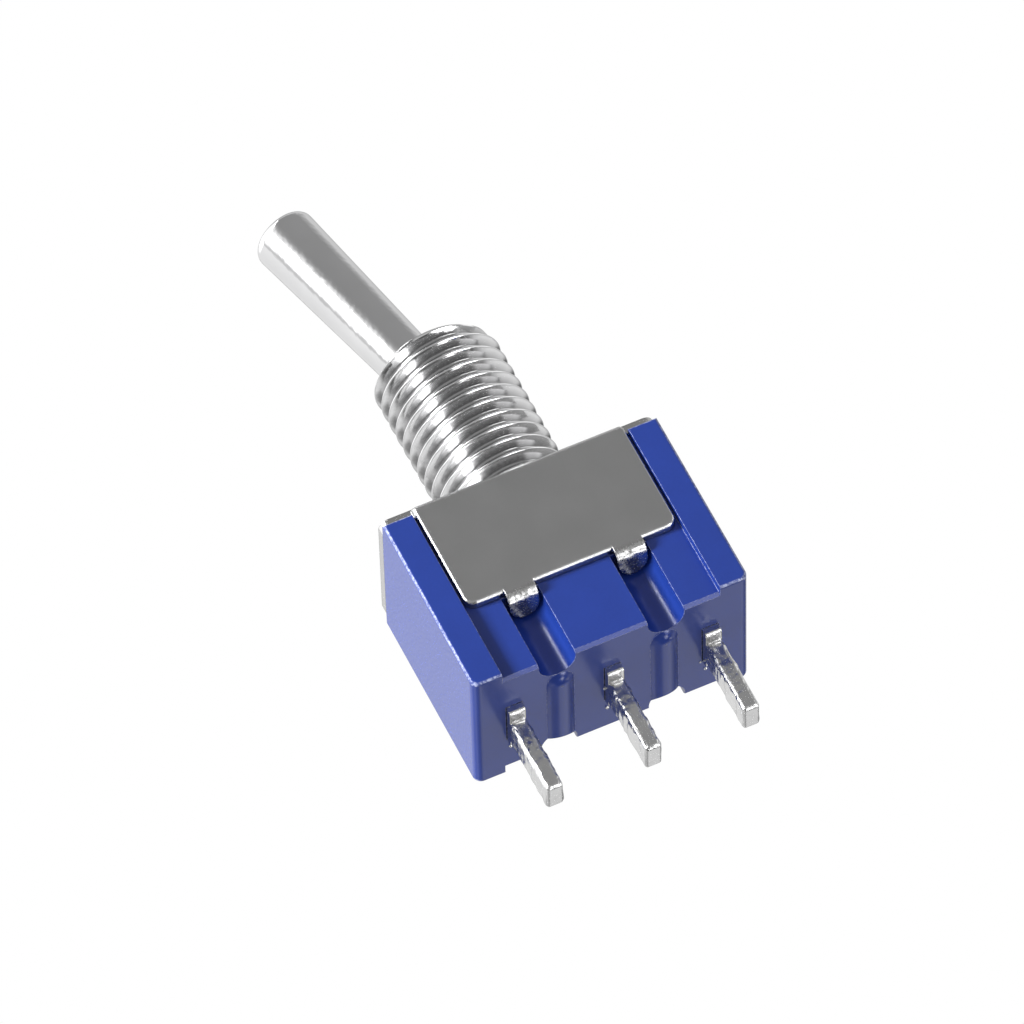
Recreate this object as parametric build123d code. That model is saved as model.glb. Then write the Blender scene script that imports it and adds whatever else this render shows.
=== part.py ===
from build123d import *
from math import cos, radians, sin, sqrt, tan
import os

# Miniature panel toggle switch: one pole, two positions, flat circuit-board pins.
# Millimetres. +Z runs up the bushing towards the lever, X runs along the row of pins
# and -Y is the front. The origin is where the bushing's axis meets the face that
# sits against the panel, which is the top of the frame's plate.

# Frame: one piece of folded sheet
SHEET = 0.45
PLATE_L = 13.2
PLATE_CORNER_R = 0.5
FLAP_BOTTOM_Z = -5.9
FLAP_CORNER_R = 0.5
FLAP_BEND_R = 0.06
FLAP_EDGE_R = 0.18
TAB_X = 2.6
TAB_W = 1.4
TAB_ANGLE = 80
TAB_BEND_R = 0.1
TAB_FLAT_L = 0.95
TAB_ROOT_L = 0.5

# Housing
BODY_W = 7.8
BODY_BOTTOM_Z = -9.8
POST_W = 1.4
BODY_EDGE_R = 0.16
BODY_FOOT_R = 0.4
CORE_EDGE = 0.15
BASE_T = 3.1
END_WALL = 1.0
CHAMBER_W = 4.2
WELL_W = 3.4
WELL_RISE = 0.6
CHAMBER_CORNER_R = 0.4
GROOVE_WALL = 0.59
RIB_SHIFT = 0.11
RIB_W = 1.32
RIB_RISE = 0.3

# Bushing
BUSHING_R = 3.0
BUSHING_L = 8.9
BUSHING_CHAMFER = 0.45
COLLAR_STEP = 0.27
STAKE_LIP = 0.44
STAKE_T = 0.15
THREAD_PITCH = 0.75
THREAD_DEPTH = 0.41
THREAD_CREST = 0.1
THREAD_ANGLE = 60
KEYWAY_W = 1.2
KEYWAY_DEPTH = 0.6
THROAT_LIP = 0.25
SKIRT_TOP_Z = 0.8

# Lever, measured along its own axis from the pivot
PIVOT_Z = 5.7
THROW_ANGLE = 14
BALL_R = 2.0
BALL_FLAT_Y = 1.75
BAT_START_S = 1.3
BAT_START_R = 1.244
BAT_END_R = 1.53
BAT_TIP_R = 0.5
TIP_DOME_R = 4.0
TIP_S = 13.1
TAIL_R = 1.05
TAIL_L = 4.5
TAIL_EDGE_R = 0.12
LEVER_BORE_S = 1.55

# Plunger and its spring, measured down the same axis from the pivot
STEM_R = 0.62
STEM_TOP_S = 2.05
STEM_LEAD = 0.12
NOSE_R = 1.0
NOSE_DROP = 0.9
NOSE_LIFT = 0.9
SPRING_WIRE_R = 0.09
SPRING_TURNS = 7

# Rocker blade, measured along its arms from the rocker's pivot
ROCKER_ANGLE = 8
ROCKER_SHEET = 0.3
ROCKER_BEND_R = 0.3
ROCKER_RISE = 14
ROCKER_W = 2.6
ROCKER_END = 0.77
WAIST_W = 2.0
WAIST_L = 1.5
ROCKER_CORNER_R = 0.4
WAIST_CORNER_R = 0.15

# Contacts
CONTACT_INSET = 0.8
CONTACT_R = 0.6
CONTACT_RISE = 0.25
CONTACT_EDGE_R = 0.1
BUTTON_RISE = 0.245
BUTTON_DOME_R = 2.2
SHANK_R = 0.3

# Terminals
PITCH = 4.7
BLADE_T = 0.76
BLADE_W = 2.5
SHOULDER_DROP = 0.4
PIN_W = 1.5
PIN_L = 3.8
PIN_SHIFT = 0.2
PIN_TIP_R = 0.15
PIN_EDGE_R = 0.12
FOOT_END = 0.75
FOOT_BEND_R = 0.3
HORN_RISE = 0.2

# Fits and clearances
SEAT_GAP = 0.01
WALL_GAP = 0.02
FLAP_SIDE_GAP = 0.125
TAB_SIDE_GAP = 0.175
LEDGE_GAP = 0.02
COLLAR_GAP = 0.02
STAKE_GAP = 0.05
MOUTH_GAP = 0.17
BALL_GAP = 0.05
TAIL_GAP = 0.09
SKIRT_GAP = 0.24
STEM_GAP = 0.08
SPRING_SIDE_GAP = 0.11
SPRING_END_GAP = 0.02
CRADLE_GAP = 0.05
OPEN_GAP = 0.04
SLOT_GAP = 0.02
RIVET_GAP = 0.01

# Frame and housing sizes that follow
PLATE_W = BODY_W - 2 * SHEET
CORE_L = PLATE_L - 2 * POST_W
CORE_W = PLATE_W - 2 * WALL_GAP
FLAP_W = CORE_L - 2 * FLAP_SIDE_GAP
BODY_TOP_Z = -SHEET - SEAT_GAP
LEDGE_Z = FLAP_BOTTOM_Z - LEDGE_GAP
FLOOR_Z = BODY_BOTTOM_Z + BASE_T
CHAMBER_L = PLATE_L - 2 * END_WALL
GROOVE_R = TAB_W / 2 + TAB_SIDE_GAP
GROOVE_Y = WELL_W / 2 + GROOVE_WALL + GROOVE_R

# Terminal, contact and rocker sizes that follow
SHOULDER_Z = BODY_BOTTOM_Z - SHOULDER_DROP
FOOT_BOTTOM_Z = FLOOR_Z + SEAT_GAP
FOOT_TOP_Z = FOOT_BOTTOM_Z + BLADE_T
BUTTON_TOP_Z = FOOT_TOP_Z + BUTTON_RISE
CONTACT_X = PITCH - CONTACT_INSET
ROCKER_OUTER_R = ROCKER_BEND_R + ROCKER_SHEET
REST_SLOPE = radians(ROCKER_RISE - ROCKER_ANGLE)
RIVET_FACE_R = ROCKER_OUTER_R + CONTACT_RISE
RIVET_S = (CONTACT_X - RIVET_FACE_R * sin(REST_SLOPE)) / cos(REST_SLOPE)
RIVET_FACE_DROP = RIVET_FACE_R * cos(REST_SLOPE) - RIVET_S * sin(REST_SLOPE)
ROCKER_Z = BUTTON_TOP_Z + OPEN_GAP + RIVET_FACE_DROP
ROCKER_ARM_L = RIVET_S + ROCKER_END

# Lever, plunger and bushing sizes that follow
THROW = radians(THROW_ANGLE)
COLLAR_BOTTOM_Z = -SHEET - STAKE_T
COLLAR_R = BUSHING_R - COLLAR_STEP
STAKE_R = COLLAR_R + STAKE_LIP
THROAT_R = BALL_R - THROAT_LIP
THROAT_Z = PIVOT_Z + sqrt((BALL_R + BALL_GAP) ** 2 - THROAT_R**2)
BAT_TAPER = (BAT_END_R - BAT_START_R) / (TIP_S - BAT_START_S)
MOUTH_BAT_R = BAT_START_R + BAT_TAPER * (BUSHING_L - PIVOT_Z - BAT_START_S)
MOUTH_R = (BUSHING_L - PIVOT_Z) * tan(THROW) + MOUTH_BAT_R / cos(THROW) + MOUTH_GAP
BORE_R = TAIL_L * sin(THROW) + TAIL_R * cos(THROW) + TAIL_GAP
BORE_FLAT_Y = BALL_FLAT_Y + BALL_GAP
SKIRT_R = (PIVOT_Z - COLLAR_BOTTOM_Z) * tan(THROW) + STEM_R / cos(THROW) + SKIRT_GAP
LEVER_BORE_R = STEM_R + STEM_GAP
SPRING_R = LEVER_BORE_R - SPRING_SIDE_GAP - SPRING_WIRE_R
NOSE_TOP_S = (PIVOT_Z - COLLAR_BOTTOM_Z) / cos(THROW) + NOSE_DROP
NOSE_CENTRE_S = PIVOT_Z - ROCKER_Z - NOSE_LIFT

ON_BASE = (Align.CENTER, Align.CENTER, Align.MIN)


def turned(outline):
    """A solid turned about Z from half its section, given as (r, z, corner radius)."""
    points = [(corner[0], 0, corner[1]) for corner in outline]
    radii = [corner[2] if len(corner) > 2 else 0 for corner in outline]
    return revolve(make_face(FilletPolyline(*points, radius=radii, close=True)), Axis.Z)


def drawn(corners, plane, thickness):
    """A plate from its outline (u, v, corner radius) on a plane, thickened both ways."""
    points = [corner[:2] for corner in corners]
    radii = [corner[2] if len(corner) > 2 else 0 for corner in corners]
    face = make_face(FilletPolyline(*points, radius=radii, close=True))
    return extrude(plane * face, thickness / 2, both=True)


def thrown(part):
    """A part drawn upright about the lever's pivot, moved to its rest throw."""
    return Pos(0, 0, PIVOT_Z) * Rot(0, -THROW_ANGLE, 0) * part


def tipped(part):
    """A part drawn level about the rocker's pivot, moved to its rest tilt."""
    return Pos(0, 0, ROCKER_Z) * Rot(0, ROCKER_ANGLE, 0) * part


def half_turn(part):
    """The copy of a part a half turn about Z away: right from left, back from front."""
    return Rot(0, 0, 180) * part


def edges_at_y(part, y):
    """The edges along X that lie at plus or minus y."""
    return [e for e in part.edges().filter_by(Axis.X) if abs(abs(e.center().Y) - y) < 1e-6]


def frame_channel():
    """The middle of the frame: a channel whose flaps are trimmed and edge-rolled."""
    outer_y = BODY_W / 2
    inner_y = PLATE_W / 2
    section = [
        (-outer_y, FLAP_BOTTOM_Z),
        (-outer_y, 0, FLAP_BEND_R + SHEET),
        (outer_y, 0, FLAP_BEND_R + SHEET),
        (outer_y, FLAP_BOTTOM_Z),
        (inner_y, FLAP_BOTTOM_Z),
        (inner_y, -SHEET, FLAP_BEND_R),
        (-inner_y, -SHEET, FLAP_BEND_R),
        (-inner_y, FLAP_BOTTOM_Z),
    ]
    channel = drawn(section, Plane.YZ, FLAP_W)
    corners = channel.edges().filter_by(Axis.Y).group_by(Axis.Z)[0]
    channel = fillet(corners, FLAP_CORNER_R)
    rims = []
    for side in (Axis.Y, -Axis.Y):
        flap = channel.faces().sort_by(side)[-1]
        rims += flap.edges().sort_by(Axis.Z)[:-1]
    return fillet(rims, FLAP_EDGE_R)


def clench_tab():
    """A front tab at X = 0: a root up into the flap, a bend about X, then a round tongue."""
    strip = Pos(0, -(PLATE_W + SHEET) / 2, LEDGE_Z) * Rectangle(TAB_W, SHEET)
    hinge = Axis((0, TAB_BEND_R - PLATE_W / 2, LEDGE_Z), (1, 0, 0))
    tip_r = TAB_W / 2
    straight = TAB_FLAT_L - tip_r
    tip = Circle(tip_r) & Pos(0, -tip_r) * Rectangle(TAB_W, TAB_W)
    tongue = Pos(0, -straight / 2) * Rectangle(TAB_W, straight) + Pos(0, -straight) * tip
    tongue = Pos(0, -PLATE_W / 2, LEDGE_Z) * extrude(Plane.XZ * tongue, SHEET)
    tongue = tongue.rotate(hinge, TAB_ANGLE)
    return extrude(strip, TAB_ROOT_L) + revolve(strip, hinge, TAB_ANGLE) + tongue


def make_frame():
    plate = extrude(RectangleRounded(PLATE_L, PLATE_W, PLATE_CORNER_R), -SHEET)
    frame = frame_channel() + plate
    for x in (-TAB_X, TAB_X):
        tab = Pos(x, 0, 0) * clench_tab()
        frame += [tab, half_turn(tab)]
    return frame - Cylinder(COLLAR_R + COLLAR_GAP, 4 * SHEET)


def make_housing():
    height = BODY_TOP_Z - BODY_BOTTOM_Z
    body = Pos(0, 0, BODY_BOTTOM_Z) * Box(PLATE_L, BODY_W, height, align=ON_BASE)
    feet = body.edges().filter_by(Axis.Y).group_by(Axis.Z)[0]
    body = fillet(feet, BODY_FOOT_R)
    rims = [face.edges() for face in body.faces().filter_by(Axis.Y)]
    body = fillet([*rims[0], *rims[1]], BODY_EDGE_R)

    # Between the end posts the core stands back to make room for the flaps
    body -= Box(CORE_L, 2 * BODY_W, 3 * height) - Box(CORE_L, CORE_W, 3 * height)
    body = chamfer(edges_at_y(body, CORE_W / 2), CORE_EDGE)

    # Half-round ribs underneath, between the pins, with a rounded front end
    rib_r = (RIB_W**2 / 4 + RIB_RISE**2) / (2 * RIB_RISE)
    rib_front_y = RIB_W / 2 + GROOVE_R - GROOVE_Y
    rib = Sphere(rib_r) + extrude(Plane.XZ * Circle(rib_r), rib_front_y - GROOVE_Y)
    rib = Pos(0, rib_front_y, BODY_BOTTOM_Z + rib_r - RIB_RISE) * rib
    rib &= Pos(0, 0, BODY_BOTTOM_Z) * Box(RIB_W, 2 * GROOVE_Y, 2 * RIB_RISE)
    for side in (-1, 1):
        body += Pos(side * (TAB_X - RIB_SHIFT), 0, 0) * rib

    # Upright grooves for the clenched tabs, which also trim the ribs
    groove = Circle(GROOVE_R) + Pos(0, -GROOVE_R) * Rectangle(2 * GROOVE_R, 2 * GROOVE_R)
    groove_bottom_z = BODY_BOTTOM_Z - RIB_RISE
    groove = Pos(0, -GROOVE_Y, groove_bottom_z) * extrude(groove, LEDGE_Z - groove_bottom_z)
    for side in (-1, 1):
        front = Pos(side * TAB_X, 0, 0) * groove
        body -= [front, half_turn(front)]

    # The contact chamber, its narrower well and a relief for the staked bushing
    for width, bottom_z in [(CHAMBER_W, ROCKER_Z + WELL_RISE), (WELL_W, FLOOR_Z)]:
        outline = Pos(0, 0, bottom_z) * RectangleRounded(CHAMBER_L, width, CHAMBER_CORNER_R)
        body -= extrude(outline, BODY_TOP_Z - bottom_z)
    body -= Pos(0, 0, BODY_TOP_Z) * Cylinder(STAKE_R + STAKE_GAP, 2 * (STAKE_T + STAKE_GAP))

    # Slots in the base for the three terminals
    slot = Box(BLADE_T + 2 * SLOT_GAP, BLADE_W + 2 * SLOT_GAP, 2 * BASE_T)
    body -= [Pos(x, 0, BODY_BOTTOM_Z) * slot for x in (-PITCH, 0, PITCH)]
    return body


def thread_rings():
    """The thread's section, from the face up: one groove to each pitch, drawn as rings."""
    flank = THREAD_DEPTH * tan(radians(THREAD_ANGLE / 2))
    root_r = BUSHING_R - THREAD_DEPTH
    section = []
    for turn in range(int((BUSHING_L - BUSHING_CHAMFER) / THREAD_PITCH)):
        start = turn * THREAD_PITCH + THREAD_CREST / 2
        end = (turn + 1) * THREAD_PITCH - THREAD_CREST / 2
        section += [(BUSHING_R, start), (root_r, start + flank), (root_r, end - flank), (BUSHING_R, end)]
    return section


def make_bushing():
    body = turned([
        (0, COLLAR_BOTTOM_Z),
        (STAKE_R, COLLAR_BOTTOM_Z),
        (STAKE_R, -SHEET),
        (COLLAR_R, -SHEET),
        (COLLAR_R, 0),
        (BUSHING_R, 0),
        *thread_rings(),
        (BUSHING_R, BUSHING_L - BUSHING_CHAMFER),
        (BUSHING_R - BUSHING_CHAMFER, BUSHING_L),
        (0, BUSHING_L),
    ])
    mouth = turned([
        (0, THROAT_Z),
        (THROAT_R, THROAT_Z),
        (MOUTH_R, BUSHING_L),
        (0, BUSHING_L),
    ])
    skirt = turned([
        (0, COLLAR_BOTTOM_Z),
        (SKIRT_R, COLLAR_BOTTOM_Z),
        (BORE_R, SKIRT_TOP_Z),
        (0, SKIRT_TOP_Z),
    ])
    seat = Pos(0, 0, PIVOT_Z) * Sphere(BALL_R + BALL_GAP, arc_size1=0, align=ON_BASE)
    bore_l = PIVOT_Z - SKIRT_TOP_Z
    bore = Cylinder(BORE_R, bore_l, align=ON_BASE)
    bore &= Box(2 * BORE_R, 2 * BORE_FLAT_Y, bore_l, align=ON_BASE)
    bore = Pos(0, 0, SKIRT_TOP_Z) * bore
    keyway = Pos(0, BUSHING_R, 0) * Box(KEYWAY_W, 2 * KEYWAY_DEPTH, BUSHING_L, align=ON_BASE)
    return body - mouth - seat - bore - skirt - keyway


def make_lever():
    dome = Pos(0, 0, TIP_S - TIP_DOME_R) * Sphere(TIP_DOME_R)
    dome += Cylinder(2 * BAT_END_R, 2 * (TIP_S - BAT_END_R))
    bat = turned([(0, 0), (BAT_START_R, 0), (BAT_START_R, BAT_START_S), (BAT_END_R, TIP_S), (0, TIP_S)])
    bat &= dome
    bat = fillet(bat.edges().filter_by(Plane.XY).sort_by(Axis.Z)[-1], BAT_TIP_R)
    ball = Sphere(BALL_R) & Box(2 * BALL_R, 2 * BALL_FLAT_Y, 2 * BALL_R)
    tail = turned([(0, 0), (TAIL_R, 0), (TAIL_R, -TAIL_L, TAIL_EDGE_R), (0, -TAIL_L)])
    bore = Pos(0, 0, -TAIL_L) * Cylinder(LEVER_BORE_R, TAIL_L + LEVER_BORE_S, align=ON_BASE)
    return thrown(bat + ball + tail - bore)


def make_plunger():
    stem = [
        (0, -NOSE_CENTRE_S),
        (NOSE_R, -NOSE_CENTRE_S),
        (NOSE_R, -NOSE_TOP_S, STEM_LEAD),
        (STEM_R, -NOSE_TOP_S),
        (STEM_R, -STEM_TOP_S, STEM_LEAD),
        (0, -STEM_TOP_S),
    ]
    return thrown(turned(stem) + Pos(0, 0, -NOSE_CENTRE_S) * Sphere(NOSE_R))


def make_plunger_spring():
    bottom = SPRING_END_GAP + SPRING_WIRE_R - STEM_TOP_S
    top = LEVER_BORE_S - SPRING_WIRE_R - SPRING_END_GAP
    coil = Helix((top - bottom) / SPRING_TURNS, top - bottom, SPRING_R, center=(0, 0, bottom))
    wire = Plane(coil @ 0, z_dir=coil % 0) * Circle(SPRING_WIRE_R)
    return thrown(sweep(wire, coil, is_frenet=True))


def on_arm(part):
    """A part drawn under the pivot with +X outwards, moved onto the +X arm."""
    return Rot(0, -ROCKER_RISE, 0) * part


def make_rocker_blade():
    """A V of sheet bent about its own pivot, waisted where the horns hold it."""
    reach = ROCKER_ARM_L + ROCKER_OUTER_R
    arm = Box(reach, ROCKER_W, ROCKER_SHEET, align=(Align.MIN, Align.CENTER, Align.MIN))
    arm = on_arm(Pos(0, 0, -ROCKER_OUTER_R) * arm)
    bend = Cylinder(ROCKER_OUTER_R, ROCKER_W, rotation=(90, 0, 0))
    bend -= Cylinder(ROCKER_BEND_R, ROCKER_W, rotation=(90, 0, 0))
    wedge = on_arm(Box(reach, ROCKER_W, reach, align=(Align.MAX, Align.CENTER, Align.MAX)))
    bend &= wedge & half_turn(wedge)
    plan = RectangleRounded(2 * ROCKER_ARM_L, ROCKER_W, ROCKER_CORNER_R)
    for side in (-1, 1):
        notch = RectangleRounded(WAIST_L, ROCKER_W - WAIST_W, WAIST_CORNER_R)
        plan -= Pos(0, side * ROCKER_W / 2) * notch
    blade = (bend + [arm, half_turn(arm)]) & extrude(plan, reach, both=True)
    hole = on_arm(Pos(RIVET_S, 0, -ROCKER_BEND_R) * Cylinder(SHANK_R + RIVET_GAP, 4 * ROCKER_SHEET))
    return tipped(blade - [hole, half_turn(hole)])


def make_rocker_contact():
    """The rivet of the +X arm: a flat head below the blade, its shank flush above."""
    rivet = turned([
        (0, -RIVET_FACE_R),
        (CONTACT_R, -RIVET_FACE_R, CONTACT_EDGE_R),
        (CONTACT_R, -ROCKER_OUTER_R - SEAT_GAP),
        (SHANK_R, -ROCKER_OUTER_R - SEAT_GAP),
        (SHANK_R, -ROCKER_BEND_R),
        (0, -ROCKER_BEND_R),
    ])
    return on_arm(Pos(RIVET_S, 0, 0) * rivet)


def make_end_contact():
    """The rivet of the right terminal: a domed head on the foot, its tail flush below."""
    head_z = FOOT_TOP_Z + SEAT_GAP
    rivet = turned([
        (0, FOOT_BOTTOM_Z),
        (SHANK_R, FOOT_BOTTOM_Z),
        (SHANK_R, head_z),
        (CONTACT_R, head_z),
        (CONTACT_R, BUTTON_TOP_Z),
        (0, BUTTON_TOP_Z),
    ])
    dome = Pos(0, 0, BUTTON_TOP_Z - BUTTON_DOME_R) * Sphere(BUTTON_DOME_R)
    return Pos(CONTACT_X, 0, 0) * (rivet & dome)


def terminal_blade(top_z):
    """The flat part of a terminal: a blade through the base, a shoulder and a pin."""
    half_w = BLADE_W / 2
    pin_back = PIN_SHIFT + PIN_W / 2
    pin_front = PIN_SHIFT - PIN_W / 2
    tip_z = SHOULDER_Z - PIN_L
    blade = drawn([
        (-half_w, top_z),
        (half_w, top_z),
        (half_w, SHOULDER_Z, PIN_TIP_R),
        (pin_back, SHOULDER_Z),
        (pin_back, tip_z, PIN_TIP_R),
        (pin_front, tip_z, PIN_TIP_R),
        (pin_front, SHOULDER_Z),
        (-half_w, SHOULDER_Z, PIN_TIP_R),
    ], Plane.YZ, BLADE_T)
    arrises = [e for e in blade.edges() if e.center().Z < SHOULDER_Z - PIN_TIP_R
               and abs(abs(e.center().X) - BLADE_T / 2) < 1e-6]
    return fillet(arrises, PIN_EDGE_R)


def make_end_terminal():
    """The right terminal: its top is turned in to a foot that carries the contact."""
    inner_x = CONTACT_X - FOOT_END
    outer_x = PITCH + BLADE_T / 2
    foot = drawn([
        (inner_x, FOOT_BOTTOM_Z),
        (outer_x, FOOT_BOTTOM_Z),
        (outer_x, FOOT_TOP_Z, FOOT_BEND_R),
        (inner_x, FOOT_TOP_Z),
    ], Plane.XZ, BLADE_W)
    hole = Pos(CONTACT_X, 0, FOOT_BOTTOM_Z) * Cylinder(SHANK_R + RIVET_GAP, 3 * BLADE_T)
    return foot + Pos(PITCH, 0, 0) * terminal_blade(FOOT_BOTTOM_Z) - hole


def make_common_terminal():
    """The centre terminal: its top is bored across to cradle the rocker between horns."""
    cradle_w = WAIST_W + 2 * CRADLE_GAP
    cradle = Cylinder(ROCKER_OUTER_R + CRADLE_GAP, cradle_w, rotation=(90, 0, 0))
    return terminal_blade(ROCKER_Z + HORN_RISE) - Pos(0, 0, ROCKER_Z) * cradle


end_terminal = make_end_terminal()
end_contact = make_end_contact()
rocker_contact = make_rocker_contact()

parts = {
    "frame": make_frame(),
    "bushing": make_bushing(),
    "housing": make_housing(),
    "terminal_left": mirror(end_terminal, Plane.YZ),
    "terminal_common": make_common_terminal(),
    "terminal_right": end_terminal,
    "end_contact_left": half_turn(end_contact),
    "end_contact_right": end_contact,
    "lever": make_lever(),
    "plunger": make_plunger(),
    "plunger_spring": make_plunger_spring(),
    "rocker_blade": make_rocker_blade(),
    "rocker_contact_left": tipped(half_turn(rocker_contact)),
    "rocker_contact_right": tipped(rocker_contact),
}

os.makedirs("parts", exist_ok=True)
for name, shape in parts.items():
    export_step(shape, f"parts/{name}.step")
    print(name, round(shape.volume, 2))
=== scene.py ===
# %% [markdown]
# # A miniature toggle switch, dressed for its photograph
#
# The solids of the switch come from the part's source and are fixed. This scene adds
# what solids don't carry: the camera and light of the photograph, the thread on the
# bushing, the tin on the pins, and a finish for each material. Every surface made here
# is either a function of two numbers, evaluated with numpy over a whole grid, or a
# group of shader nodes.

import math

import bmesh
import bpy
import numpy as np
from mathutils import Matrix, Vector


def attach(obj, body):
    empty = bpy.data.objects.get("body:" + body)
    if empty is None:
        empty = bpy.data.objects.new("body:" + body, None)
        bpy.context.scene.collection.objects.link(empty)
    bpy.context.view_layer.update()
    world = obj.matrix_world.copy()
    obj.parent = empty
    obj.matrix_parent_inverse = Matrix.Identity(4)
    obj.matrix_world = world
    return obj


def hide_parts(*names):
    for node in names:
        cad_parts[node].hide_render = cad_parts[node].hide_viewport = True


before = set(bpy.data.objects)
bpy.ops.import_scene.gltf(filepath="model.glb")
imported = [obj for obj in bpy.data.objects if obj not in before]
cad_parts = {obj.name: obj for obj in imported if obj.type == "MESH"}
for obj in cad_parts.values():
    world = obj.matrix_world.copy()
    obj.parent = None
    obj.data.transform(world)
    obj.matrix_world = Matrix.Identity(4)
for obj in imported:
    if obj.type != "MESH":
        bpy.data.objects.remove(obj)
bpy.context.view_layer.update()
MM = 0.001
print("nodes:", ", ".join(sorted(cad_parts)))


def add_object(name, data):
    """A new object that shows data, linked into the scene."""
    made = bpy.data.objects.new(name, data)
    bpy.context.collection.objects.link(made)
    return made


# %% [markdown]
# ## Camera
#
# The photograph looks up at the switch from below its front left corner, from far
# away and with a long lens, so parallel edges stay almost parallel. A camera is placed
# by three perpendicular directions: what it calls right, what it calls up, and the way
# back from the subject. Together they are the columns of its rotation matrix, so no
# angles have to be worked out.

# %% Camera
CAMERA_PLACE = Vector((-112.620, -413.703, -257.229)) * MM
CAMERA_BACK = Vector((-0.22489, -0.82736, -0.51470))
CAMERA_RIGHT = Vector((0.90563, 0.01752, -0.42372))
SENSOR_WIDTH = 36
LENS = 400.76

camera_data = bpy.data.cameras.new("photo_camera")
camera = add_object("photo_camera", camera_data)
back = CAMERA_BACK.normalized()
up = back.cross(CAMERA_RIGHT).normalized()
right = up.cross(back)
turned = Matrix((right, up, back)).transposed().to_4x4()
camera.matrix_world = Matrix.Translation(CAMERA_PLACE) @ turned
camera_data.sensor_width = SENSOR_WIDTH
camera_data.lens = LENS
camera_data.clip_start = 0.01
camera_data.clip_end = 10
camera_data.dof.use_dof = False
bpy.context.scene.camera = camera
bpy.context.scene.view_settings.view_transform = "Standard"
print("camera at", [round(v, 4) for v in camera.location], "lens", camera_data.lens)

# %% [markdown]
# ## Shader helpers
#
# A procedural material is a chain of small functions. These helpers add one node at a
# time and return the socket that carries its result, so a material reads like a
# formula instead of a list of links.


# %% Nodes and numbers
def fill(socket, value):
    """Link value to the socket if it is another socket, and write it there otherwise."""
    if isinstance(value, bpy.types.NodeSocket):
        socket.id_data.links.new(value, socket)
    else:
        socket.default_value = value


def node(tree, kind, inputs=None, **settings):
    """One node of a shader tree, with its settings set and then its inputs filled."""
    made = tree.nodes.new(kind)
    for name, value in settings.items():
        setattr(made, name, value)
    for name, value in (inputs or {}).items():
        fill(made.inputs[name], value)
    return made


def maths(tree, operation, *numbers):
    """The result of one arithmetic operation on the numbers."""
    made = node(tree, "ShaderNodeMath", dict(enumerate(numbers)), operation=operation)
    return made.outputs[0]


def vector_maths(tree, operation, *vectors):
    """The result of one operation on vectors: a number for a length or a dot product."""
    made = node(tree, "ShaderNodeVectorMath", dict(enumerate(vectors)), operation=operation)
    is_number = operation in ("LENGTH", "DOT_PRODUCT")
    return made.outputs["Value" if is_number else "Vector"]


def parts(tree, vector):
    """The X, Y and Z of a vector, by those names."""
    return node(tree, "ShaderNodeSeparateXYZ", {"Vector": vector}).outputs


def remap(tree, value, start, end, low=0.0, high=1.0, smooth=False):
    """Low up to value start, high from value end on, and a line between, or an S if smooth."""
    inputs = {"Value": value, "From Min": start, "From Max": end, "To Min": low, "To Max": high}
    kind = "SMOOTHSTEP" if smooth else "LINEAR"
    return node(tree, "ShaderNodeMapRange", inputs, interpolation_type=kind).outputs[0]


# %% Colours
def grey(level):
    """A colour with all three channels at level."""
    return (level, level, level, 1)


def tint(colour, factor):
    """The colour with every channel times factor."""
    return (*(channel * factor for channel in colour), 1)


def ramp(tree, share, stops):
    """A colour that follows share through stops of (position, colour)."""
    made = node(tree, "ShaderNodeValToRGB", {"Fac": share})
    elements = made.color_ramp.elements
    while len(elements) < len(stops):
        elements.new(0.5)
    for element, (position, colour) in zip(elements, stops):
        element.position = position
        element.color = colour
    return made.outputs["Color"]


def mixed(tree, share, low, high, blend="MIX"):
    """The colour low, turned towards high by share, or blended with it in another way."""
    inputs = {0: share, 6: low, 7: high}
    made = node(tree, "ShaderNodeMix", inputs, data_type="RGBA", blend_type=blend)
    return made.outputs[2]


# %% [markdown]
# ## Light
#
# Polished metal has next to no colour of its own: it shows the room. So the room is
# designed first, as a world shader that depends on the direction of the ray. Mirrors see
# pale walls to the left and behind, a bright softbox to the front left and a dimmer room
# in front, where the photographer stands. Below the horizon the walls are plain, with a
# white backdrop low behind the switch, and straight down the room is dark. A few round
# reflectors add light, and two dark cards take some away. Matt surfaces are lit by a
# soft grey, stronger from below, and the camera sees plain white.
#
# The room is given by a bearing in degrees, which is 0 in front of the switch, -90 to its
# left and 90 to its right, and by heights, which are the z of a ray of length 1.

# %% Levels of the room
ROOM = [
    (-180, 0.62),
    (-174, 0.75),
    (-168, 1.00),
    (-124, 1.15),
    (-97, 1.25),
    (-90, 0.85),
    (-85, 0.90),
    (-77, 2.00),
    (-67, 2.40),
    (-63, 12.0),
    (-46, 12.0),
    (-41, 1.60),
    (-28, 0.60),
    (-20, 0.42),
    (-12, 0.38),
    (68, 0.40),
    (84, 0.52),
    (105, 0.86),
    (128, 0.80),
    (140, 0.62),
    (180, 0.62),
]
BRIGHTEST = max(level for _, level in ROOM)
LOW_WALLS = 0.55
WALLS_FADE = (-0.02, 0.14)
WHITE_BACKDROP = 1.0
BACKDROP_FADE = (0.05, 0.35)
DARK_BELOW = 0.13
DARK_FADE = (-0.80, -0.66)
SOFT_ABOVE = 0.28
SOFT_BELOW = 0.74
SOFT_FADE = (-0.2, 0.2)
REFLECTORS = [
    ((0.30, -0.02, -0.953), 8, 7.0),
    ((0.42, -0.51, -0.75), 11, 8.0),
    ((0.60, -0.41, -0.69), 11, 8.0),
    ((0.956, -0.256, 0.139), 20, 1.1),
    ((-0.636, 0.207, 0.743), 26, 1.0),
    ((-0.25, 0.82, -0.51), 13, -0.65),
    ((0.52, 0.84, -0.15), 11, -0.45),
]
RIM = (0.7, 1.3)
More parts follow.
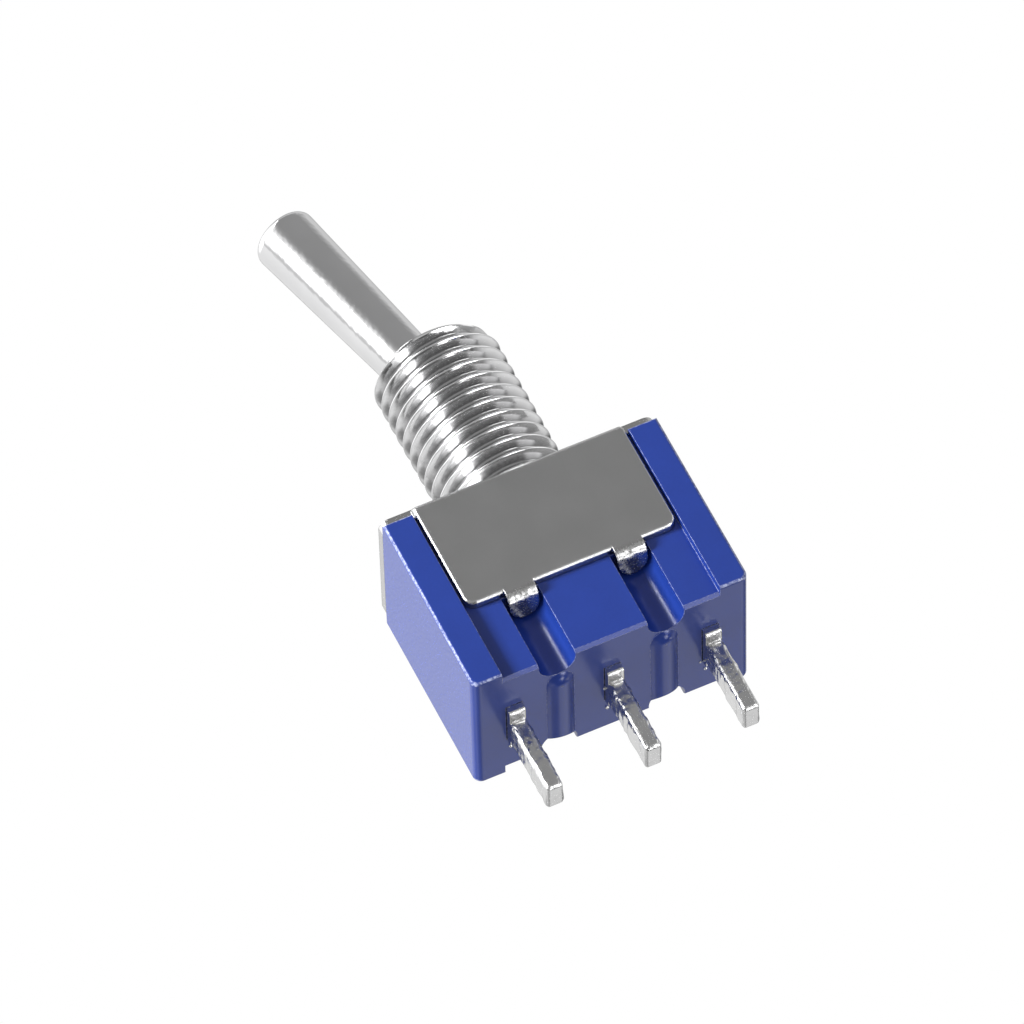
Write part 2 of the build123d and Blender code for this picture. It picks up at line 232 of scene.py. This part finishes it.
print("world stops:", len(ROOM), "brightest", BRIGHTEST, "reflectors", len(REFLECTORS))


# %% World
def reflector(tree, direction, place, radius, level):
    """Level in a disc of radius degrees about the direction place, fading to 0 at its rim."""
    cosine = vector_maths(tree, "DOT_PRODUCT", direction, Vector(place).normalized())
    near, far = (math.cos(math.radians(part * radius)) for part in RIM)
    return remap(tree, cosine, far, near, 0.0, level, smooth=True)


world = bpy.data.worlds.new("studio")
bpy.context.scene.world = world
world.use_nodes = True
world.cycles.sampling_method = "NONE"
tree = world.node_tree
tree.nodes.clear()
direction = node(tree, "ShaderNodeTexCoord").outputs["Generated"]
axes = parts(tree, direction)
compass = maths(tree, "ARCTAN2", axes["X"], maths(tree, "MULTIPLY", axes["Y"], -1.0))
share = maths(tree, "MULTIPLY_ADD", compass, 0.5 / math.pi, 0.5)
stops = [(0.5 + degrees / 360, grey(level / BRIGHTEST)) for degrees, level in ROOM]
walls = mixed(tree, 1.0, ramp(tree, share, stops), grey(BRIGHTEST), "MULTIPLY")
walls = mixed(tree, remap(tree, axes["Z"], *WALLS_FADE, smooth=True), grey(LOW_WALLS), walls)
low_behind = maths(tree, "MINIMUM", axes["Y"], maths(tree, "MULTIPLY", axes["Z"], -1.0))
backdrop = remap(tree, low_behind, *BACKDROP_FADE, smooth=True)
walls = mixed(tree, backdrop, walls, grey(WHITE_BACKDROP))
room = mixed(tree, remap(tree, axes["Z"], *DARK_FADE, smooth=True), grey(DARK_BELOW), walls)
for place, radius, level in REFLECTORS:
    room = mixed(tree, 1.0, room, reflector(tree, direction, place, radius, level), "ADD")
rays = node(tree, "ShaderNodeLightPath").outputs
mirrored = maths(tree, "MAXIMUM", rays["Is Glossy Ray"], rays["Is Transmission Ray"])
soft = mixed(tree, remap(tree, axes["Z"], *SOFT_FADE), grey(SOFT_BELOW), grey(SOFT_ABOVE))
light = mixed(tree, mirrored, mixed(tree, rays["Is Camera Ray"], soft, grey(1.0)), room)
shader = node(tree, "ShaderNodeBackground", {"Color": light, "Strength": 1.0})
node(tree, "ShaderNodeOutputWorld", {"Surface": shader.outputs[0]})
print("world nodes:", len(tree.nodes))

# %% [markdown]
# One soft lamp stands where the softbox is. It gives matt surfaces a bright and a
# shaded side. Mirrors already see the softbox in the world, so the lamp hides from them.

# %% Key light
KEY_PLACE = Vector((-0.38, -0.24, 0.08))
KEY_SIZE = 0.14
KEY_WATTS = 4.0

key_data = bpy.data.lights.new("soft_key", "AREA")
key_data.shape = "SQUARE"
key_data.size = KEY_SIZE
key_data.energy = KEY_WATTS
key = add_object("soft_key", key_data)
key.location = KEY_PLACE
key.rotation_euler = (-KEY_PLACE).to_track_quat("-Z", "Y").to_euler()
key.visible_glossy = False
print("key light", round(KEY_PLACE.length, 3), "m away")

# %% [markdown]
# ## Floor
#
# The camera looks up from below, so a floor close under the pins would hide the switch.
# This pale floor lies lower than the camera, which never sees it in the photograph, but
# other views do. It glows a little, to look almost as pale as the background. It neither
# lights the switch nor shows in its mirrors, which see the room instead.

# %% Floor
FLOOR_Z = -0.32
PAPER = 0.85
PAPER_ROUGHNESS = 0.9
PAPER_GLOW = 0.42

corners = [(-1, -1, FLOOR_Z), (1, -1, FLOOR_Z), (1, 1, FLOOR_Z), (-1, 1, FLOOR_Z)]
floor_mesh = bpy.data.meshes.new("pale_floor")
floor_mesh.from_pydata(corners, [], [(0, 1, 2, 3)])
floor = add_object("pale_floor", floor_mesh)
paper = bpy.data.materials.new("pale_paper")
paper.use_nodes = True
sheet = paper.node_tree.nodes["Principled BSDF"]
sheet.inputs["Base Color"].default_value = grey(PAPER)
sheet.inputs["Roughness"].default_value = PAPER_ROUGHNESS
sheet.inputs["Emission Color"].default_value = grey(1.0)
sheet.inputs["Emission Strength"].default_value = PAPER_GLOW
floor_mesh.materials.append(paper)
floor.visible_glossy = False
floor.visible_diffuse = False
print("floor at", FLOOR_Z)

# %% [markdown]
# ## Finishes
#
# Seen close up, no part of a switch is one flat colour. Each finish starts from the
# same four ingredients: a base colour that drifts slowly, a roughness that changes over
# the surface, a fine bump, and for drawn or rolled metal a streak along one direction.
# All of them read Object coordinates, in millimetres, so the sizes below are real ones.

# %% Finish helpers
BEVEL_SAMPLES = 6


def finish(name, colour, metallic, roughness):
    """A new material with its plain values on the shader, and its point in millimetres."""
    material = bpy.data.materials.new(name)
    material.use_nodes = True
    tree = material.node_tree
    shader = tree.nodes["Principled BSDF"]
    shader.inputs["Base Color"].default_value = (*colour, 1)
    shader.inputs["Metallic"].default_value = metallic
    shader.inputs["Roughness"].default_value = roughness
    point = node(tree, "ShaderNodeTexCoord").outputs["Object"]
    scaled = node(tree, "ShaderNodeVectorMath", {0: point, "Scale": 1 / MM}, operation="SCALE")
    return material, tree, shader, scaled.outputs[0]


def noise(tree, point, size, detail=2.0, stretch=None):
    """Noise between 0 and 1 whose blotches are size millimetres across."""
    if stretch:
        point = node(tree, "ShaderNodeMapping", {"Vector": point, "Scale": stretch}).outputs[0]
    inputs = {"Vector": point, "Scale": 1 / size, "Detail": detail}
    return node(tree, "ShaderNodeTexNoise", inputs).outputs["Fac"]


def between(tree, share, low, high):
    """Low where the noise is at its usual least, 0.3, and high at its usual most, 0.7."""
    return remap(tree, share, 0.3, 0.7, low, high)


def eased(tree, radius):
    """The normal as it would be if every edge had the radius, in millimetres."""
    made = node(tree, "ShaderNodeBevel", {"Radius": radius * MM}, samples=BEVEL_SAMPLES)
    return made.outputs["Normal"]


def bump(tree, shader, height, depth_um, below=None):
    """Height as a bump of depth_um thousandths of a millimetre, over the bump below."""
    inputs = {"Height": height, "Strength": 1.0, "Distance": depth_um * 1e-6}
    if below:
        inputs["Normal"] = below
    made = node(tree, "ShaderNodeBump", inputs).outputs["Normal"]
    fill(shader.inputs["Normal"], made)
    return made


# %% [markdown]
# ### Plated metal
#
# The frame is punched from strip that was nickel plated: a satin grey with a fine
# rolling grain. The bushing was turned and plated, so it is shinier. The lever is
# polished chrome. One function makes these and the other metals, and their numbers tell
# them apart.

# %% Plated metal
METAL_DRIFT = 1.8
METAL_TINTS = (0.96, 1.02)
WAVE_EASE = 0.09
WAVE_ROUGHER = 0.06
WAVE_TARNISH = (0.25, 0.3)
# Painted shade: the grooves of the thread are painted darker, down to this share of the colour.
ROOT_SHADE_FACTOR = 0.55


def plated(name, colour, roughness, spread, grain, depth_um, streak=None, wave=None, root_shade=None):
    """Metal whose colour drifts by 6 %, whose roughness runs over spread, with a grain.

    A wave (size, depth_um, low, high) eases the edges and adds broad dents with a dull
    tarnish, which fade in from height low to high. A root_shade (low, high) is painted
    shade: it darkens the metal where its distance from the axis falls to low.
    """
    material, tree, shader, point = finish(name, colour, 1.0, roughness)
    drift = between(tree, noise(tree, point, METAL_DRIFT), 0, 1)
    fleck = noise(tree, point, grain, 0.0, streak)
    base = mixed(tree, drift, *(tint(colour, factor) for factor in METAL_TINTS))
    rough = between(tree, fleck, roughness - spread, roughness + spread)
    below = bump(tree, shader, fleck, depth_um, eased(tree, WAVE_EASE) if wave else None)
    if wave:
        size, wave_um, low, high = wave
        share = remap(tree, parts(tree, point)["Z"], low, high)
        dents = maths(tree, "MULTIPLY", noise(tree, point, size, 1.0), share)
        bump(tree, shader, dents, wave_um, below)
        rough = maths(tree, "MULTIPLY_ADD", share, WAVE_ROUGHER, rough)
        amount, level = WAVE_TARNISH
        base = mixed(tree, maths(tree, "MULTIPLY", share, amount), base, grey(level))
    # Painted shade: the metal is darker towards the axis, in the grooves of the thread.
    if root_shade:
        radius = vector_maths(tree, "LENGTH", vector_maths(tree, "MULTIPLY", point, (1, 1, 0)))
        base = mixed(tree, remap(tree, radius, *root_shade), tint(colour, ROOT_SHADE_FACTOR), base)
    fill(shader.inputs["Base Color"], base)
    fill(shader.inputs["Roughness"], rough)
    return material


TABS = (0.42, 45, -5.95, -6.1)
PINS = (0.45, 26, -9.8, -10.3)
# Radii over which the painted shade in the thread's grooves fades out.
ROOT_SHADE_RADII = (2.62, 2.9)
SHORT_GRAIN, LONG_GRAIN, STRIP_GRAIN = (1, 1, 0.5), (1, 1, 0.25), (0.3, 1.0, 1.0)
nickel_strip = plated(
    "nickel_strip", (0.49, 0.49, 0.49), 0.22, 0.04, 0.10, 0.3, SHORT_GRAIN, TABS
)
nickel_turned = plated("nickel_turned", (0.68, 0.68, 0.685), 0.13, 0.05, 0.16, 0.5, root_shade=ROOT_SHADE_RADII)
chrome = plated("polished_chrome", (0.645, 0.645, 0.65), 0.045, 0.015, 0.22, 8.0)
silver = plated("silver_contact", (0.82, 0.80, 0.76), 0.25, 0.06, 0.12, 0.8)
bronze = plated("spring_bronze", (0.72, 0.46, 0.26), 0.28, 0.05, 0.10, 0.8, STRIP_GRAIN)
spring_steel = plated("spring_steel", (0.55, 0.56, 0.58), 0.28, 0.05, 0.06, 0.5)
tinned = plated("tinned_brass", (0.70, 0.70, 0.70), 0.18, 0.04, 0.20, 0.1, LONG_GRAIN, PINS)
print("metals:", nickel_strip.name, nickel_turned.name, chrome.name, tinned.name)

# %% [markdown]
# ### Moulded plastic
#
# The body is a deep blue glass-filled plastic. Its colour is even, its surface has the
# faint orange peel of the mould, and a thin skin of resin gives it a soft gloss. Its
# edges and the rounds of its end posts are painted paler, in dots: a painted highlight.

# %% Moulded plastic
PLASTIC_DRIFT = 2.5
PLASTIC_TINTS = (0.95, 1.05)
SPECK_SIZE = 0.12
SPECK_TINT = 1.35
SPECK_SHARE = 0.12
EDGE_EASE = 0.05
EDGE_BEND = (0.99, 0.90)
ROUND_BEND = (0.98, 0.85)
POST_FACE_Y = 3.7
# The colour of the painted highlight along edges.
EDGE_HIGHLIGHT_COLOUR = (0.42, 0.46, 0.66, 1)
PEEL_SIZE, PORE_SIZE, PORE_DEPTH = 0.5, 0.09, 0.2


# Painted highlight: how much of the pale edge colour goes on edges and on the real rounds of the
# end posts.
def painted_edge_highlight(tree, point, rounded):
    """How much of an edge a point is: by the bend of its rounded normal, or a real round.

    The bend is 1 less the cosine between the normal and the rounded one. A real round of
    the end posts is where the normal lies along no axis: 1 less its largest part.
    """
    normal = node(tree, "ShaderNodeNewGeometry").outputs["Normal"]
    sharp = remap(tree, vector_maths(tree, "DOT_PRODUCT", normal, rounded), *EDGE_BEND)
    facing = node(tree, "ShaderNodeTexCoord").outputs["Normal"]
    sizes = parts(tree, vector_maths(tree, "ABSOLUTE", facing))
    largest = maths(tree, "MAXIMUM", maths(tree, "MAXIMUM", sizes["X"], sizes["Y"]), sizes["Z"])
    depth = maths(tree, "ABSOLUTE", parts(tree, point)["Y"])
    outside = maths(tree, "GREATER_THAN", depth, POST_FACE_Y)
    real = maths(tree, "MULTIPLY", remap(tree, largest, *ROUND_BEND), outside)
    return maths(tree, "MAXIMUM", sharp, real)


def moulded(name, colour, roughness, depth_um):
    """Plastic with a slow drift of colour, specks of filler, pale edges and a mould texture."""
    material, tree, shader, point = finish(name, colour, 0.0, roughness)
    drift = between(tree, noise(tree, point, PLASTIC_DRIFT), 0, 1)
    speck = between(tree, noise(tree, point, SPECK_SIZE, 4.0), 0, 1)
    base = mixed(tree, drift, *(tint(colour, factor) for factor in PLASTIC_TINTS))
    speckled = maths(tree, "MULTIPLY", speck, SPECK_SHARE)
    base = mixed(tree, speckled, base, tint(colour, SPECK_TINT))
    rounded = eased(tree, EDGE_EASE)
    # Painted highlight: edges are painted pale, broken into dots by the specks.
    edge = maths(tree, "MULTIPLY", painted_edge_highlight(tree, point, rounded), between(tree, speck, 0.15, 0.75))
    fill(shader.inputs["Base Color"], mixed(tree, edge, base, EDGE_HIGHLIGHT_COLOUR))
    fill(shader.inputs["Roughness"], between(tree, speck, roughness - 0.04, roughness + 0.05))
    below = bump(tree, shader, noise(tree, point, PEEL_SIZE, 1.0), depth_um, rounded)
    bump(tree, shader, noise(tree, point, PORE_SIZE, 1.0), depth_um * PORE_DEPTH, below)
    return material


blue_plastic = moulded("blue_plastic", (0.0130, 0.036, 0.225), 0.22, 0.8)
white_nylon = moulded("white_nylon", (0.78, 0.77, 0.73), 0.42, 0.8)
print("plastics:", blue_plastic.name, white_nylon.name)

# %% [markdown]
# ## The thread
#
# The bushing's thread is a ridge that climbs once round for every 0.75 mm. It could be
# a carved displacement, but a direct formula is exact: at angle a and height z the
# radius depends only on the phase, z plus pitch times a over a full turn. Rows of the
# grid climb with the thread, so crest and root each keep to a row and stay crisp.

# %% Thread profile
PITCH = 0.75
CREST_R = 2.995
BUSHING_R = 3.0
BUSHING_TOP = 8.9
CHAMFER_Z = 8.45
PHASES = np.array([0, 0.045, 0.08, 0.22, 0.36, 0.42, 0.5, 0.58, 0.64, 0.78, 0.92, 0.955])
DEPTHS = np.array([0, 0.010, 0.040, 0.225, 0.408, 0.448, 0.458, 0.448, 0.408, 0.225, 0.040, 0.010])


def thread_radius(z, angle):
    """Crest radius less the depth at phase z + pitch x angle / turn, and the chamfer."""
    phase = (z / PITCH + angle / (2 * np.pi)) % 1
    depth = np.interp(phase, np.append(PHASES, 1), np.append(DEPTHS, DEPTHS[0]))
    return np.minimum(CREST_R - depth, BUSHING_R - np.maximum(z - CHAMFER_Z, 0))


print("thread depth", DEPTHS.max(), "turns", round(BUSHING_TOP / PITCH, 1))

# %% [markdown]
# A lock washer's tongue slides in the keyway at the back. Each row of points therefore
# goes round from one edge of the keyway to the other, and then along its floor. Rows
# for round surfaces, such as the bore, keep the same number of points.

# %% Rings of the bushing
AROUND = 192
ACROSS = 7
KEYWAY_HALF = 0.6
KEYWAY_FLOOR = 2.4
edge = math.asin(KEYWAY_HALF / BUSHING_R)
ring = np.linspace(edge, 2 * np.pi - edge, AROUND)
gap = np.linspace(2 * np.pi - edge, 2 * np.pi + edge, ACROSS)
whole = np.concatenate([ring, gap])


def round_row(z, radius):
    """Points at one height and radius, which may be a number or one for each angle."""
    return np.stack([radius * np.sin(whole), radius * np.cos(whole), np.full_like(whole, z)], 1)


def thread_row(start):
    """A climbing row: height start less the pitch share of the angle, kept within the ends."""
    z = np.clip(start - PITCH * ring / (2 * np.pi), 0, BUSHING_TOP)
    radius = thread_radius(z, ring)
    reach = np.arcsin(KEYWAY_HALF / radius)
    angle = reach + (ring - edge) * (np.pi - reach) / (np.pi - edge)
    outside = np.stack([radius * np.sin(angle), radius * np.cos(angle), z], 1)
    across = np.linspace(-KEYWAY_HALF, KEYWAY_HALF, ACROSS)
    height = np.linspace(z[-1], z[0], ACROSS)
    inside = np.stack([across, np.full(ACROSS, KEYWAY_FLOOR), height], 1)
    return np.concatenate([outside, inside])


def flat_bore(z, radius, half):
    """A round hole of the radius with two flats at y = plus and minus half."""
    return round_row(z, np.minimum(radius, half / np.maximum(np.abs(np.cos(whole)), 1e-6)))


turns = np.arange(math.ceil(BUSHING_TOP / PITCH) + 1)
starts = ((turns[:, None] + PHASES[None, :]) * PITCH).ravel()
starts = starts[starts <= BUSHING_TOP + PITCH][::-1]
rows = [thread_row(start) for start in starts]
print("thread rows:", len(rows), "points round:", len(whole))

# %% [markdown]
# Below the thread the bushing passes through the frame and is spread into a lip. Above
# it the mouth narrows to a throat that holds the ball. The rows go down the outside,
# under the lip and up the inside, and the last row joins the first.

# %% Rows of the lip, the bore and the mouth
BALL_Z = 5.7
SEAT_R = 2.05
SEAT_ROWS = 9
THROAT_Z = 6.7677
BORE_START = 0.8
BORE_R = 2.1975
BORE_FLAT = 1.8
LIP = [(0, 2.73), (-0.45, 2.73), (-0.45, 3.17), (-0.6, 3.17), (-0.6, 2.4497)]
MOUTH = [(BUSHING_TOP - 0.06, 2.287), (BUSHING_TOP, 2.33)]

rows += [round_row(z, radius) for z, radius in LIP]
rows += [flat_bore(z, BORE_R, BORE_FLAT) for z in (BORE_START, BALL_Z)]
for z in np.linspace(BALL_Z, THROAT_Z, SEAT_ROWS):
    rows.append(round_row(z, math.sqrt(SEAT_R**2 - (z - BALL_Z) ** 2)))
rows += [round_row(z, radius) for z, radius in MOUTH]
print("all rows:", len(rows))

# %% Surfaces into objects
JOIN_UM = 0.5
SHARP_DEGREES = 50


def mesh_object(name, points, faces, material):
    """An object from an array of points in millimetres and the point numbers of each face."""
    mesh = bpy.data.meshes.new(name)
    mesh.from_pydata(points.reshape(-1, 3) * MM, [], faces)
    mesh.materials.append(material)
    return add_object(name, mesh)


def tidy_mesh(piece):
    """Merge doubled points, drop faces with no area and smooth all but the sharp edges."""
    work = bmesh.new()
    work.from_mesh(piece.data)
    bmesh.ops.remove_doubles(work, verts=work.verts, dist=JOIN_UM * 1e-6)
    bmesh.ops.dissolve_degenerate(work, edges=work.edges, dist=JOIN_UM * 1e-6)
    bmesh.ops.recalc_face_normals(work, faces=work.faces)
    work.to_mesh(piece.data)
    work.free()
    piece.data.shade_smooth()
    piece.data.set_sharp_from_angle(angle=math.radians(SHARP_DEGREES))


# %% Threaded bushing
points = np.array(rows)
index = np.arange(points[..., 0].size).reshape(points.shape[:2])
below = np.roll(index, -1, 0)
faces = np.stack([index, np.roll(index, -1, 1), np.roll(below, -1, 1), below], -1)
bushing = mesh_object("threaded_bushing", points, faces.reshape(-1, 4), nickel_turned)
tidy_mesh(bushing)
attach(bushing, "switch_body")
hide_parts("bushing")
print("bushing faces:", len(bushing.data.polygons))

# %% [markdown]
# ## Beads of tin
#
# When the pins were hot tinned, a few droplets stuck to the base beside them. Each is a
# ball half sunk in the plastic: at angles a and b it has the unit direction
# (cos a sin b, sin a sin b, cos b), times the droplet's radius.

# %% Beads of tin
BASE_Z = -9.8
POLE = 0.01
BEADS = [
    (-4.92, 1.83, 0.10),
    (-0.28, 1.86, 0.10),
    (-0.40, 0.30, 0.07),
    (4.46, 1.90, 0.09),
    (4.22, 1.26, 0.06),
]


def ball(centre, radius, steps=12):
    """Quads of a ball as an array (faces, 4 corners, 3), from a grid of two angles."""
    round_it = np.linspace(0, 2 * np.pi, 2 * steps + 1)
    down_it = np.linspace(POLE, np.pi - POLE, steps)
    a, b = np.meshgrid(round_it, down_it)
    unit = np.stack([np.cos(a) * np.sin(b), np.sin(a) * np.sin(b), np.cos(b)], -1)
    grid = np.array(centre) + radius * unit
    quads = np.stack([grid[:-1, :-1], grid[1:, :-1], grid[1:, 1:], grid[:-1, 1:]], 2)
    return quads.reshape(-1, 4, 3)


corners = np.concatenate([ball((x, y, BASE_Z), radius) for x, y, radius in BEADS])
faces = np.arange(corners.size // 3).reshape(-1, 4)
beads = mesh_object("tin_beads", corners, faces, tinned)
tidy_mesh(beads)
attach(beads, "switch_body")
print("beads:", len(BEADS), "faces:", len(beads.data.polygons))

# %% [markdown]
# ## Tin on the pins
#
# The pins were dipped in molten tin, which rounds their edges and dries in waves. Each
# coat is a sleeve of rings from the shoulder to the tip. A ring is a rectangle with
# round corners, grown by the thickness of the tin. The first and the last ring lie
# inside the pin and are closed by a cap.

# %% Waves in the tin
PIN_X = [-4.7, 0.0, 4.7]
PIN_Y = 0.2
PIN_HALF = np.array([0.38, 0.75])
COAT_TOP = -10.22
COAT_TIP = -13.992
RING_POINTS = 96
BLUR = 2.2
DRAWN_OUT = 0.35


def waves(rng, rows, length):
    """Smooth random waves around 0 with a spread of 1: noise blurred to length millimetres.

    The blur is a bell curve over the frequency, less strong along the pin than round it.
    """
    around = 4 * PIN_HALF.sum()
    rough = rng.standard_normal((rows, RING_POINTS))
    across = np.fft.fftfreq(RING_POINTS, around / RING_POINTS)[None, :]
    along = np.fft.fftfreq(rows, (COAT_TOP - COAT_TIP) / rows)[:, None]
    blur = np.exp(-0.5 * (length * BLUR) ** 2 * (across**2 + DRAWN_OUT * along**2))
    smooth = np.fft.ifft2(np.fft.fft2(rough) * blur).real
    return smooth / smooth.std()


print("points in a ring:", RING_POINTS, "coats from", COAT_TOP, "to", COAT_TIP)

# %% Coats of tin
CORNER_R = 0.20
TIN = 0.030
TIN_RANGE = (0.004, 0.07)
WAVE_HEIGHT, SIDE_HEIGHT = 0.005, 0.011
LONG_WAVE, SHORT_WAVE, SHORT_SHARE = 0.5, 0.2, 0.3
TIP_LENGTH, TIP_INSET = 0.16, 0.19
TOP_LENGTH, TOP_INSET = 0.12, 0.08


def coat(rng, x, rows=90):
    """Rings of one sleeve: the rounded rectangle, its thickness and the round of the tip.

    A ring has four corners, each a quarter turn and then a slide to the next corner. The
    waves are higher on the sides that face along X.
    """
    share = np.linspace(0, 1, rows)[:, None]
    z = COAT_TOP + (COAT_TIP - COAT_TOP) * share
    to_tip = np.clip((z - COAT_TIP) / TIP_LENGTH, 0, 1)
    inset = TIP_INSET * (1 - np.sqrt(1 - (1 - to_tip) ** 2))
    inset = inset + TOP_INSET * np.clip(1 - (COAT_TOP - z) / TOP_LENGTH, 0, 1)
    side = np.arange(RING_POINTS) / RING_POINTS * 4
    corner = np.floor(side).astype(int)
    within = side - corner
    turn = np.clip(within / 0.5, 0, 1) * np.pi / 2 + corner * np.pi / 2
    slide = np.clip((within - 0.5) / 0.5, 0, 1)
    signs = np.array([(1, 1), (-1, 1), (-1, -1), (1, -1)])
    middle = PIN_HALF - CORNER_R
    here, there = signs[corner] * middle, signs[(corner + 1) % 4] * middle
    centre = here + (there - here) * slide[:, None]
    out = np.stack([np.cos(turn), np.sin(turn)], 1)
    height = WAVE_HEIGHT + SIDE_HEIGHT * np.abs(out[:, 0])
    thick = TIN + height * waves(rng, rows, LONG_WAVE)
    thick = thick + SHORT_SHARE * height * waves(rng, rows, SHORT_WAVE)
    grow = np.clip(thick, *TIN_RANGE) - inset
    flat = centre[None] + out[None] * (CORNER_R + grow[..., None])
    z = np.broadcast_to(z, flat.shape[:2])
    return np.stack([x + flat[..., 0], PIN_Y + flat[..., 1], z], -1)


rng = np.random.default_rng(11)
coats = np.stack([coat(rng, x) for x in PIN_X])
index = np.arange(coats[..., 0].size).reshape(coats.shape[:3])
beside = np.roll(index, -1, 2)
quads = np.stack([index[:, :-1], index[:, 1:], beside[:, 1:], beside[:, :-1]], -1)
caps = index[:, 0].tolist() + index[:, -1, ::-1].tolist()
tin_coats = mesh_object("tin_coats", coats, quads.reshape(-1, 4).tolist() + caps, tinned)
tin_coats.data.shade_smooth()
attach(tin_coats, "switch_body")
print("coats:", len(PIN_X), "faces:", len(tin_coats.data.polygons))

# %% [markdown]
# ## Dress the solids
#
# The other solids already have the right shape and only need their finish.

# %% Dress the solids
FINISHES = {
    "frame": nickel_strip,
    "bushing": nickel_turned,
    "housing": blue_plastic,
    "lever": chrome,
    "plunger": white_nylon,
    "plunger_spring": spring_steel,
    "rocker_blade": bronze,
}
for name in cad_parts:
    if "terminal" in name:
        FINISHES[name] = tinned
    elif "contact" in name:
        FINISHES[name] = silver
for name, material in FINISHES.items():
    solid = bpy.data.objects[name]
    solid.data.materials.clear()
    solid.data.materials.append(material)
print("solids with a finish:", len(FINISHES))
